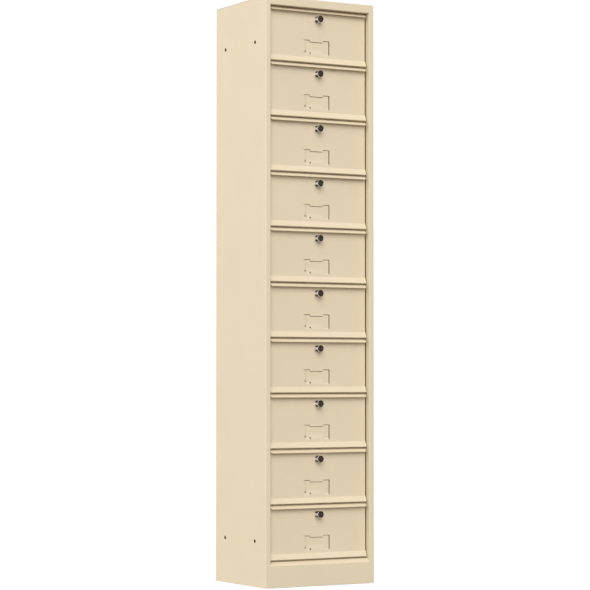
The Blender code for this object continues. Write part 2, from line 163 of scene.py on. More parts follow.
@named
class SorterCasing(bpy.types.PropertyGroup):
    """Sizes of the folded casing and the shelves."""
    sheet: distance(0.001, "Gauge of the steel sheet")
    bend: distance(0.0011, "Radius of a bend at the middle of the sheet")
    return_depth: distance(0.0172, "How far the stile's inner return runs back from the front")
    rear_flange: distance(0.015, "Width of the side wall's rear flange")
    header_height: distance(0.0227, "Height of the header's face")
    rear_lip: distance(0.018, "Drop of the cap's rear lip")
    plinth_height: distance(0.0584, "Height of the plinth's upright face")
    plinth_flange: distance(0.022, "How far the plinth turns in along the floor")
    sill_run: distance(0.0135, "Depth of the sill's slope")
    hole_radius: distance(0.0051, "Radius of the holes that join one column to the next")
    hole_from_front: distance(0.0604, "From the front plane to the front holes")
    hole_from_back: distance(0.0534, "From the rear plane to the rear holes")
    hole_from_floor: distance(0.1228, "From the floor to the lower holes")
    hole_from_top: distance(0.1203, "From the top to the upper holes")
    rod_hole: distance(0.0023, "Radius of the hinge rod's hole in the return")


@named
class SorterFlap(bpy.types.PropertyGroup):
    """Sizes of one flap, heights from the middle of the gap above it unless they say otherwise."""
    crest: distance(0.0018, "Drop to the sharp corner between the pull and the face")
    pull_reach: distance(0.0117, "How far the pull's edge stands in front of the face")
    pull_drop: distance(0.0104, "Drop to the pull's front edge")
    pull_taper: distance(0.0045, "Width of the corner cut at each end of the pull")
    pull_taper_rise: distance(0.0072, "Height of the corner cut at each end of the pull")
    lip_top: distance(0.0184, "From the gap below the flap up to the lip's bend")
    roll_lift: distance(0.002, "From the gap below the flap up to the underside of the roll")
    roll_radius: distance(0.0028, "Radius of the hinge roll at the middle of the sheet")
    lip_edge: distance(0.0034, "How far the lip runs on past the roll before it turns under")
    roll_turn: angle(277.0, "How far the hinge roll wraps the rod")
    rod_radius: distance(0.002, "Radius of the hinge rod")
    side_flange: distance(0.010, "Depth of the flap's side flanges")
    flange_low: distance(0.0224, "From the gap below the flap up to the side flanges")
    flange_high: distance(0.013, "Drop to the top of the side flanges")
    relief: distance(0.0016, "Height of the notch at each end of a side flange")
    lock_hole: distance(0.0073, "Radius of the lock's hole")
    label_drop: distance(0.0861, "Drop to the top of the label pocket")
    label_width: distance(0.079, "Width of the label pocket")
    label_height: distance(0.0385, "Height of the label pocket")
    label_shift: distance(-0.0031, "How far the label pocket sits right of the middle")
    label_sink: distance(0.0016, "How far the label pocket is pressed back")
    label_slit: distance(0.0012, "Height of the slit along the pocket's top edge")
    side_slit: distance(0.0017, "Width of the slit along the pocket's right edge")
    label_slope: distance(0.010, "Width of the slope along the pocket's left edge")
    label_fade: distance(0.016, "Height over which the pocket's foot comes forward in the middle")
    scoop_width: distance(0.0425, "Width of the thumb dip in the pocket's top edge")
    scoop_depth: distance(0.0047, "Depth of the thumb dip")
    scoop_slope: distance(0.002, "Width of each sloped end of the thumb dip")
    scoop_reach: distance(0.011, "How far above and below the slit the sheet follows the dip")
    ear_width: distance(0.0145, "Width of the ledge at each end of the pocket's foot")
    ear_height: distance(0.0032, "Height of the ledges")
    ear_end: distance(0.003, "Width over which a ledge fades into the foot's middle")
    nick: distance(0.0038, "Size of the relief holes at the ends of the left ledge")
    nick_drop: distance(0.0304, "Drop from the pocket's top to the upper relief hole")
    nick_step: distance(0.0044, "Drop from the upper relief hole to the inner one")


@named
class SorterLock(bpy.types.PropertyGroup):
    """Sizes of one cam lock, forward reach counted from the flap's face."""
    proud: distance(0.0175, "How far the head stands in front of the face")
    bezel_radius: distance(0.0094, "Radius of the bezel round the plug")
    neck_radius: distance(0.0092, "Radius of the head behind the bezel")
    bezel: distance(0.0035, "Length of the bezel")
    groove: distance(0.0004, "Depth of the groove behind the bezel")
    rounding: distance(0.0002, "Rounding of the bezel's front edge")
    body_radius: distance(0.007, "Radius of the body through the flap")
    body: distance(0.0065, "How far the body runs back from the face")
    clearance: distance(0.0003, "Gap between pieces that move")
    nut_across: distance(0.019, "Width of the fixing nut")
    nut: distance(0.0025, "Thickness of the fixing nut")
    plug_radius: distance(0.0054, "Radius of the plug's shank")
    plug_face_radius: distance(0.0088, "Radius of the plug's face")
    plug_face: distance(0.003, "Thickness of the plug's face")
    plug_sink: distance(0.0004, "How far the plug's face lies behind the bezel")
    keyway_width: distance(0.0012, "Width of the keyway")
    keyway_height: distance(0.007, "Height of the keyway")
    keyway_depth: distance(0.006, "Depth of the keyway")
    cam_width: distance(0.012, "Width of the cam")
    cam_thickness: distance(0.002, "Thickness of the cam")
    cam_reach: distance(0.0245, "From the lock's axis to the cam's tip")
    # the neck's bands are painted reflections: dark bands laid into the plate's colour
    reflection_band_pitch: distance(0.011, "From one dull band of the neck's plate to the next")
    screw_radius: distance(0.004, "Radius of the cam screw's head")
    screw_head: distance(0.0015, "Height of the cam screw's head")


@named
class SorterFinish(bpy.types.PropertyGroup):
    """Colours of the finishes and roughness of the paint."""
    paint: colour((0.76, 0.647, 0.461), "Ivory powder coat")
    paint_roughness: share(0.42, "Roughness of the powder coat")
    chrome: colour((0.86, 0.84, 0.84), "Bright plate on the lock heads")
    dark_plate: colour((0.066, 0.055, 0.047), "Dark plate on the lock plugs")
    steel: colour((0.45, 0.44, 0.42), "Drawn steel of the hinge rods")


@named
class SorterStage(bpy.types.PropertyGroup):
    """Camera, lamps and floor."""
    camera: position((-3.16135, -5.3997, 0.5611), "Where the camera stands")
    camera_yaw: angle(30.357, "How far the camera looks to the right of straight ahead")
    camera_pitch: angle(2.117, "How far the camera looks above the horizon")
    lens: focal_length(137.72, "Focal length of the camera")
    sky: brightness(0.48, "Strength of the light from all round")
    key: brightness(2.30, "Strength of the wide front lamp")
    side: brightness(1.36, "Strength of the wide left lamp")
    key_from: direction((-0.34, -0.765, 0.55), "Where the front lamp stands, seen from the object")
    side_from: direction((-0.94, 0.14, 0.32), "Where the left lamp stands, seen from the object")
    key_spread: angle(55.0, "How wide the front lamp looks, seen from the object")
    side_spread: angle(45.0, "How wide the left lamp looks, seen from the object")
    lamp_distance: distance(32.0, "From the object's middle to the lamps")
    floor: colour((0.24, 0.24, 0.24), "Floor, as far as it throws light back")
    floor_reach: distance(14.0, "From the middle of the floor to its edges")
    floor_white: brightness(1.375, "Strength of the white that the floor shows where it is seen")
    floor_share: share(0.7, "How much of the floor's look is that white")


# ---------------------------------------------------------------- shapes

def rounded(points, radius, steps=BEND_STEPS):
    """A path with every inner corner turned into an arc.

    At a corner with unit legs a and b that meet at twice the angle h, the arc's centre lies along a + b at
    radius / sin h, and the spoke turns evenly from one leg's touching point to the other's.
    """
    points = np.asarray(points, float)
    corner = points[1:-1]
    back, ahead = points[:-2] - corner, points[2:] - corner
    back /= np.linalg.norm(back, axis=1, keepdims=True)
    ahead /= np.linalg.norm(ahead, axis=1, keepdims=True)
    half = np.arccos(np.clip((back * ahead).sum(1), -1, 1)) / 2
    radius = np.broadcast_to(radius, half.shape)
    middle = back + ahead
    middle /= np.linalg.norm(middle, axis=1, keepdims=True)
    centre = corner + middle * (radius / np.sin(half))[:, None]
    touch = (radius / np.tan(half))[:, None]
    first, last = corner + back * touch - centre, corner + ahead * touch - centre
    sweep = (np.pi - 2 * half)[:, None, None]
    turn = np.linspace(0, 1, steps + 1)[None, :, None]
    arcs = (np.sin((1 - turn) * sweep) * first[:, None] + np.sin(turn * sweep) * last[:, None]) / np.sin(sweep)
    return np.concatenate([points[:1], (centre[:, None] + arcs).reshape(-1, 2), points[-1:]])


def run_along(path):
    """Length along a path at each of its points: the running sum of its steps."""
    return np.append(0, np.cumsum(np.linalg.norm(np.diff(path, axis=0), axis=1)))


def on_path(path, lengths):
    """Points of a path at given lengths along it, straight between its own points."""
    run = run_along(path)
    return np.interp(lengths, run, path[:, 0]), np.interp(lengths, run, path[:, 1])


def merged(*groups):
    """All values of the groups in rising order, once each, to a tenth of a micrometre."""
    return np.unique(np.round(np.concatenate([np.ravel(group) for group in groups]), 7))


def block(middle, reach):
    """Evenly spaced lines across the square that holds a hole."""
    return np.add.outer(np.ravel(middle), reach * np.linspace(-1, 1, RIM_STEPS + 1))


def smooth(value):
    """0 below 0, 1 above 1, and 3t^2 - 2t^3 between."""
    value = np.clip(value, 0, 1)
    return value * value * (3 - 2 * value)


def lattice(rows, columns, keep=None, holes=()):
    """Quads of a lattice of rows by columns, everywhere or where keep is true.

    Each hole (row, column, reach, radius) drops the square of cells within reach of its centre and joins the
    square's rim to a circle, each rim point along its own spoke. Returns every point's row and column value
    and the quads.
    """
    index = np.arange(len(rows) * len(columns)).reshape(len(rows), len(columns))
    down, across = np.repeat(rows, len(columns)), np.tile(columns, len(rows))
    keep = np.ones((len(rows) - 1, len(columns) - 1), bool) if keep is None else keep.copy()
    rings = []
    for row, column, reach, radius in holes:
        first, last = (np.abs(rows - (row + side * reach)).argmin() for side in (-1, 1))
        left, right = (np.abs(columns - (column + side * reach)).argmin() for side in (-1, 1))
        keep[first:last, left:right] = False
        rim = np.concatenate([index[first, left:right], index[first:last, right],
                              index[last, right:left:-1], index[last:first:-1, left]])
        spoke = np.arctan2(down[rim] - row, across[rim] - column)
        ring = len(down) + np.arange(len(rim))
        down = np.append(down, row + radius * np.sin(spoke))
        across = np.append(across, column + radius * np.cos(spoke))
        rings.append(np.stack([rim, np.roll(rim, -1), np.roll(ring, -1), ring], 1))
    cells = np.stack([index[:-1, :-1], index[:-1, 1:], index[1:, 1:], index[1:, :-1]], -1)[keep]
    quads = np.concatenate([cells, *rings])
    used, quads = np.unique(quads, return_inverse=True)
    return down[used], across[used], quads.reshape(-1, 4)


def section(path, columns, keep=None):
    """A section of (y, z) carried along X: the x, y and z of its lattice's points, and the quads."""
    along, x, quads = lattice(run_along(path), columns, keep)
    return (x, *on_path(path, along), quads)


def side_fold(across, start, end, radius):
    """Where a flat blank's side goes when it is folded a quarter turn: (sideways, away) for each place.

    Up to start it stays flat; then it follows an arc, sideways start + r sin t and away r (1 - cos t), until
    the quarter turn is done; then it runs straight away. Past the arc nothing lies beyond end.
    """
    past = np.abs(across) - start
    turn = np.clip(past / radius, 0, math.pi / 2)
    sideways = np.where(past > 0, start + radius * np.sin(turn), np.abs(across))
    away = radius * (1 - np.cos(turn)) + np.clip(past - radius * math.pi / 2, 0, None)
    return np.sign(across) * np.minimum(sideways, end), away


def fold_lines(start, radius, length):
    """Column places of a side fold: its start, its arc and the flange's edge, on both sides."""
    arc = start + radius * np.linspace(0, math.pi / 2, BEND_STEPS + 1)
    lines = np.append(arc, arc[-1] + length)
    return merged(-lines, lines)


def loft(loops, ring=False):
    """Quads between closed loops, given as an array of loops by points.

    In a ring the last loop joins the first again, as round a bored part; otherwise each end is one flat face.
    """
    index = np.arange(loops.shape[0] * loops.shape[1]).reshape(loops.shape[:2])
    rows = len(index) if ring else len(index) - 1
    here, onward = index[:rows], np.roll(index, -1, axis=0)[:rows]
    quads = np.stack([here, onward, np.roll(onward, -1, axis=1), np.roll(here, -1, axis=1)], -1).reshape(-1, 4)
    ends = [] if ring else [index[0].tolist(), index[-1, ::-1].tolist()]
    return loops.reshape(-1, 3), quads.tolist() + ends


def joined(*shells):
    """Several closed shells as one list of points and one list of faces."""
    points, faces, start = [], [], 0
    for shell_points, shell_faces in shells:
        points.append(shell_points)
        faces += [[corner + start for corner in face] for face in shell_faces]
        start += len(shell_points)
    return np.concatenate(points), faces


def turn_angles(steps=ROUND_STEPS):
    """Even angles once round."""
    return np.linspace(0, 2 * np.pi, steps, endpoint=False)


def turned(profile, radius_at=None):
    """Loops of a (radius, forward reach) profile turned about the Y axis.

    The point at angle t lies at x = r cos t, y = -reach, z = r sin t; radius_at may change r with t.
    """
    turn = turn_angles()
    radius, reach = np.asarray(profile, float).T
    radius = np.repeat(radius[:, None], len(turn), 1)
    if radius_at is not None:
        radius = radius_at(radius, turn[None])
    return np.stack([radius * np.cos(turn), -np.repeat(reach[:, None], len(turn), 1), radius * np.sin(turn)], -1)


def closed_profile(points, radius):
    """A closed profile with every corner rounded by the same radius."""
    points = np.asarray(points, float)
    return rounded(np.concatenate([points[-1:], points, points[:1]]), radius, CORNER_STEPS)[1:-1]


def slot_loop(width, height, reach):
    """A rectangle in the XZ plane as one loop: along each angle, the nearer of its two pairs of sides."""
    turn = turn_angles()
    with np.errstate(divide="ignore"):
        far = np.minimum(width / 2 / np.abs(np.cos(turn)), height / 2 / np.abs(np.sin(turn)))
    return np.stack([far * np.cos(turn), np.full_like(turn, -reach), far * np.sin(turn)], -1)


def arm_loops(length, half, levels):
    """Loops of a round-ended arm along +X: at each (share of the half width, reach) level, the points that far
    from a line of the given length, the half circles meeting at its ends."""
    turn = turn_angles()
    start = np.where(np.cos(turn) > 0, length, 0.0)
    out, reach = np.asarray(levels, float).T
    x = start + out[:, None] * half * np.cos(turn)
    return np.stack([x, -np.repeat(reach[:, None], len(turn), 1), out[:, None] * half * np.sin(turn)], -1)


# ---------------------------------------------------------------- pieces

def span(*names):
    """Low and high corners of the box that holds several CAD nodes."""
    lows, highs = zip(*(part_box(name) for name in names))
    return Vector(map(min, zip(*lows))), Vector(map(max, zip(*highs)))


def new_piece(name, points, faces, body, nodes, finish):
    """A piece that rides on a body, stands for one or more CAD nodes and wears the finish it is given."""
    mesh = bpy.data.meshes.new(name)
    mesh.from_pydata(np.asarray(points).tolist(), [], faces)
    mesh.materials.append(finish)
    made = bpy.data.objects.new(name, mesh)
    bpy.context.scene.collection.objects.link(made)
    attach(made, body)
    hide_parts(*nodes)
    return made


def sheet_piece(name, points, quads, body, *nodes):
    """A painted sheet: its middle surface, given its gauge, with the cut edges broken."""
    gauge = bpy.context.scene.sorter_casing.sheet
    made = new_piece(name, points, quads.tolist(), body, nodes, paint())
    solid = made.modifiers.new("gauge", "SOLIDIFY")
    solid.thickness = gauge
    solid.offset = 0.0
    solid.use_even_offset = True
    edges = made.modifiers.new("broken_edges", "BEVEL")
    edges.width = gauge * EDGE_BREAK
    edges.segments = EDGE_SEGMENTS
    edges.limit_method = "ANGLE"
    edges.angle_limit = EDGE_ANGLE
    flat = made.modifiers.new("flat_faces", "WEIGHTED_NORMAL")
    flat.weight = FLAT_WEIGHT
    made.data.shade_smooth()


def solid_piece(name, points, faces, body, node, slot, finish, centre):
    """A closed solid whose faces are turned outwards, shaded smooth but for its sharp edges.

    The point attribute lathe keeps each point's place from the piece's own axis, for the finish's rings.
    """
    made = new_piece(name, points + np.asarray(centre), faces, body, [node], finish)
    work = bmesh.new()
    work.from_mesh(made.data)
    bmesh.ops.recalc_face_normals(work, faces=work.faces)
    work.to_mesh(made.data)
    work.free()
    place = made.data.attributes.new("lathe", "FLOAT_VECTOR", "POINT")
    place.data.foreach_set("vector", np.asarray(points, np.float32).ravel())
    made.data.shade_smooth()
    made.data.set_sharp_from_angle(angle=SHARP_ANGLE)


def lock_pieces(kind, body, slot, finish, points, faces):
    """One like piece for every lock, about the lock's own axis."""
    for number in NUMBERS:
        solid_piece(f"{kind}_{number}_turned", points, faces, f"{body}_{number}", f"{kind}_{number}", slot, finish,
                    JOINTS[f"lock_{number}_turn"]["pos_m"])


# ---------------------------------------------------------------- finishes

def feed(tree, shader, inputs):
    """Give a node its inputs, each a socket to link or a value to set."""
    for key, value in inputs.items():
        if isinstance(value, bpy.types.NodeSocket):
            tree.links.new(value, shader.inputs[key])
        else:
            shader.inputs[key].default_value = value


def node(tree, kind, output, inputs=None, **options):
    """One output of a new node with these options and inputs."""
    made = tree.nodes.new(kind)
    for name, value in options.items():
        setattr(made, name, value)
    feed(tree, made, inputs or {})
    return made.outputs[output]


def new_finish(name):
    """A new Principled material, its node tree and its shader."""
    made = bpy.data.materials.new(name)
    made.use_nodes = True
    return made, made.node_tree, made.node_tree.nodes["Principled BSDF"]


def noise(tree, place, scale, detail, roughness=0.5):
    """Noise over a place."""
    return node(tree, "ShaderNodeTexNoise", "Fac",
                {"Vector": place, "Scale": scale, "Detail": detail, "Roughness": roughness})


def spread(tree, value, low, high, start=0.0, end=1.0):
    """A value between start and end spread over the range from low to high."""
    return node(tree, "ShaderNodeMapRange", "Result",
                {"Value": value, "From Min": start, "From Max": end, "To Min": low, "To Max": high})


def tone(tree, value, base, low, high):
    """A colour between two strengths of one base colour."""
    made = tree.nodes.new("ShaderNodeValToRGB")
    for stop, position, part in zip(made.color_ramp.elements, TONE_STOPS, (low, high)):
        stop.position = position
        stop.color = (*(min(1.0, channel * part) for channel in base), 1.0)
    feed(tree, made, {"Fac": value})
    return made.outputs["Color"]


def bump(tree, height, strength, depth, before=None):
    """A bump of a given depth, over another bump where there is one."""
    under = {} if before is None else {"Normal": before}
    return node(tree, "ShaderNodeBump", "Normal",
                {"Height": height, "Strength": strength, "Distance": depth, **under})


def darken(tree, plain, share_of, depth):
    """A colour made darker where a share is high, down to one minus the depth of itself."""
    left = 1 - depth
    return node(tree, "ShaderNodeMix", MIX_RESULT,
                {MIX_SHARE: share_of, MIX_FIRST: plain, MIX_SECOND: (left, left, left, 1.0)},
                data_type="RGBA", blend_type="MULTIPLY")


def paint_finish():
    """Ivory powder coat: a faint drift of tone, fine orange peel and slightly uneven gloss."""
    finish = bpy.context.scene.sorter_finish
    made, tree, shader = new_finish("ivory_powder_coat")
    place = node(tree, "ShaderNodeTexCoord", "Object")
    drift = noise(tree, place, scale=9.0, detail=3.0)
    peel = noise(tree, place, scale=620.0, detail=2.0)
    grain = noise(tree, place, scale=2600.0, detail=1.0)
    gloss = noise(tree, place, scale=45.0, detail=2.0)
    soft = bump(tree, peel, strength=0.25, depth=0.00012)
    feed(tree, shader, {
        "Base Color": tone(tree, drift, finish.paint, low=0.985, high=1.012),
        "Roughness": spread(tree, gloss, low=finish.paint_roughness - 0.05, high=finish.paint_roughness + 0.05),
        "Normal": bump(tree, grain, strength=0.10, depth=0.00004, before=soft),
        "Specular IOR Level": 0.35})
    return made


def rings_finish(name, base, gloss, ring_scale, shade):
    """Plated metal with fine turning rings: noise over the distance from the piece's own axis. What shade returns,
    from the place on the piece, its Y and that distance, darkens it."""
    made, tree, shader = new_finish(name)
    place = node(tree, "ShaderNodeAttribute", "Vector", attribute_name="lathe")
    y = node(tree, "ShaderNodeVectorMath", "Value", {0: place, 1: (0, 1, 0)}, operation="DOT_PRODUCT")
    flat = node(tree, "ShaderNodeVectorMath", "Vector", {0: place, 1: (1, 0, 1)}, operation="MULTIPLY")
    far = node(tree, "ShaderNodeVectorMath", "Value", {0: flat}, operation="LENGTH")
    around = node(tree, "ShaderNodeCombineXYZ", "Vector", {"X": far, "Y": y})
    rings = noise(tree, around, ring_scale, detail=3.0, roughness=0.6)
    wear = noise(tree, place, scale=320.0, detail=4.0)
    plate = tone(tree, wear, base, low=0.9, high=1.08)
    feed(tree, shader, {
        "Base Color": darken(tree, plate, *shade(tree, place, y, far)),
        "Roughness": spread(tree, wear, low=gloss * 0.75, high=gloss * 1.3),
        "Normal": bump(tree, rings, strength=0.3, depth=0.00003),
        "Metallic": 1.0})
    return made


def neck_painted_reflections(tree, place, y, far):
    """Painted reflections: soft dark bands across Z, on the neck only, darkening the plate's colour there but not
    on the bezel.
    """
    lock = bpy.context.scene.sorter_lock
    # painted reflection: dark wave bands laid into the neck's plate colour
    wave = node(tree, "ShaderNodeTexWave", "Fac",
                {"Vector": place, "Scale": WAVE_PITCH / lock.reflection_band_pitch, "Distortion": 1.2, "Detail Scale": 1.5},
                bands_direction="Z")
    neck = lock.bezel - lock.proud
    bands = spread(tree, wave, 0.0, 1.0, *TONE_STOPS)
    neck_only = spread(tree, y, 0.0, 1.0, neck, neck + lock.groove)
    return node(tree, "ShaderNodeMath", "Value", {0: bands, 1: neck_only}, operation="MULTIPLY"), NECK_REFLECTION_DARKNESS


def rim_shade(tree, place, y, far):
    """Painted shade: darker towards the plug's rim."""
    rim = bpy.context.scene.sorter_lock.plug_face_radius
    # painted shade: the plug's colour darkens from part way out to its rim
    return spread(tree, far, 0.0, 1.0, rim * RIM_START, rim), RIM_SHADE_DEPTH


def chrome_finish():
    """Bright plate with painted dark reflection bands on the neck."""
    plate = bpy.context.scene.sorter_finish.chrome
    return rings_finish("lock_plate", plate, gloss=0.16, ring_scale=1800.0, shade=neck_painted_reflections)


def dark_finish():
    """Dark plate with painted shade darkening its rim."""
    plate = bpy.context.scene.sorter_finish.dark_plate
    return rings_finish("lock_dark_plate", plate, gloss=0.30, ring_scale=2600.0, shade=rim_shade)


def steel_finish():
    """Drawn steel: streaks stretched along X."""
    steel = bpy.context.scene.sorter_finish.steel
    made, tree, shader = new_finish("drawn_steel")
    place = node(tree, "ShaderNodeTexCoord", "Object")
    drawn = node(tree, "ShaderNodeMapping", "Vector", {"Vector": place, "Scale": (6.0, 900.0, 900.0)})
    streaks = noise(tree, drawn, scale=1.0, detail=4.0)
    feed(tree, shader, {
        "Base Color": tone(tree, streaks, steel, low=0.85, high=1.1),
        "Roughness": spread(tree, streaks, low=0.26, high=0.44),
        "Normal": bump(tree, streaks, strength=0.2, depth=0.00002),
        "Metallic": 1.0})
    return made


def finish_once(name, make):
    """A material by name, made the first time it is asked for."""
    return bpy.data.materials.get(name) or make()


def paint():
    """The powder coat of every sheet."""
    return finish_once("ivory_powder_coat", paint_finish)


# ---------------------------------------------------------------- operators

class SorterSides(bpy.types.Operator):
    """Fold the two side walls with their stiles, returns and rear flanges"""
    bl_idname = "sorter.sides"
    bl_label = "Side walls"

    def execute(self, context):
        casing = context.scene.sorter_casing
        for side, hand in (("left", -1), ("right", 1)):
            self.fold(casing, side, hand)
        return {"FINISHED"}

    def fold(self, casing, side, hand):
        """The section is a path of (x, y) from the return's end to the rear flange, carried along Z; rod holes
        pierce the return and joining holes the wall."""
        nodes = (f"side_{side}", f"stile_{side}", f"rear_flange_{side}")
        low, high = span(*nodes)
        half = casing.sheet / 2
        outer, inner = sorted((abs(low.x), abs(high.x)), reverse=True)
        front, rear, return_end = low.y + half, high.y - half, low.y + casing.return_depth
        corners = [(inner + half, return_end), (inner + half, front), (outer - half, front),
                   (outer - half, rear), (outer - casing.rear_flange, rear)]
        path = rounded(corners, casing.bend) * (hand, 1)
        run = run_along(path)
        wall = 2 * (BEND_STEPS + 1)
        reach = casing.rod_hole * ROD_HOLE_SQUARE
        axes = np.array([JOINTS[f"flap_{number}_hinge"]["pos_m"] for number in NUMBERS])
        rod_row = return_end - axes[0, 1]
        depths = np.array([low.y + casing.hole_from_front, high.y - casing.hole_from_back])
        heights = np.array([casing.hole_from_floor, CAD_BOX[1][2] - casing.hole_from_top])
        wall_rows = run[wall] + depths - path[wall, 1]
        far = casing.hole_radius * JOINING_HOLE_SQUARE
        rows = merged(run, block(rod_row, reach), block(wall_rows, far))
        columns = merged((low.z, high.z), block(axes[:, 2], reach), block(heights, far))
        holes = [(rod_row, z, reach, casing.rod_hole) for z in axes[:, 2]]
        holes += [(row, z, far, casing.hole_radius) for row in wall_rows for z in heights]
        along, height, quads = lattice(rows, columns, holes=holes)
        x, y = on_path(path, along)
        sheet_piece(f"side_{side}_folded", np.stack([x, y, height], 1), quads, CABINET, *nodes)


class SorterTop(bpy.types.Operator):
    """Fold the cap with its header, underside, strike and rear lip"""
    bl_idname = "sorter.top"
    bl_label = "Cap and header"

    def execute(self, context):
        """The section runs from the strike's lower edge to the rear lip. The cap spans the whole width; below it
        the folds fit between the stiles, and the header's face runs on to close the stiles' bends."""
        casing = context.scene.sorter_casing
        low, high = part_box("top_panel")
        half = casing.sheet / 2
        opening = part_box("stile_right")[0].x
        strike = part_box("shelf_1")[0].y + half
        front, rear, top = low.y + half, high.y - half, high.z - half
        under = high.z - casing.header_height + half
        corners = [(strike, low.z), (strike, under), (front, under), (front, top), (rear, top),
                   (rear, high.z - casing.rear_lip)]
        path = rounded(corners, casing.bend)
        inner = opening - half / 2
        capped = np.minimum(path[:-1, 1], path[1:, 1]) > high.z - CAP_BAND * casing.sheet
        keep = np.stack([capped, np.ones_like(capped), capped], 1)
        x, y, z, quads = section(path, (-high.x, -inner, inner, high.x), keep)
        face = (y < low.y + casing.bend) & (np.abs(x) < opening)
        x = np.where(face, np.sign(x) * (opening + casing.bend + half), x)
        sheet_piece("cap_folded", np.stack([x, y, z], 1), quads, CABINET, "top_panel")
        return {"FINISHED"}


class SorterPlinth(bpy.types.Operator):
    """Fold the plinth with its floor flange and sloped sill"""
    bl_idname = "sorter.plinth"
    bl_label = "Plinth"

    def execute(self, context):
        """The section runs from the floor flange up the face and back over the sill; the face runs on sideways to
        close the stiles' bends."""
        casing = context.scene.sorter_casing
        low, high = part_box("plinth")
        half = casing.sheet / 2
        front, sill = low.y + half, high.z - half
        corners = [(low.y + casing.plinth_flange, half), (front, half), (front, casing.plinth_height),
                   (front + casing.sill_run, sill), (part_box("stile_left")[1].y, sill)]
        x, y, z, quads = section(rounded(corners, casing.sheet), (low.x, high.x))
        wider = np.where(y < low.y + casing.sheet, casing.bend + half, 0.0)
        sheet_piece("plinth_folded", np.stack([x + np.sign(x) * wider, y, z], 1), quads, CABINET, "plinth")
        return {"FINISHED"}


class SorterShelves(bpy.types.Operator):
    """Fold the compartment floors with their strikes"""
    bl_idname = "sorter.shelves"
    bl_label = "Shelves"

    def execute(self, context):
        """The section runs from the strike's lower edge up and back over the floor."""
        casing = context.scene.sorter_casing
        half = casing.sheet / 2
        for name in SHELVES:
            low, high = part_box(name)
            strike, floor = low.y + half, high.z - half
            path = rounded([(strike, low.z), (strike, floor), (high.y, floor)], casing.bend)
            x, y, z, quads = section(path, np.linspace(low.x, high.x, SHELF_COLUMNS))
            sheet_piece(f"{name}_folded", np.stack([x, y, z], 1), quads, CABINET, name)
        return {"FINISHED"}


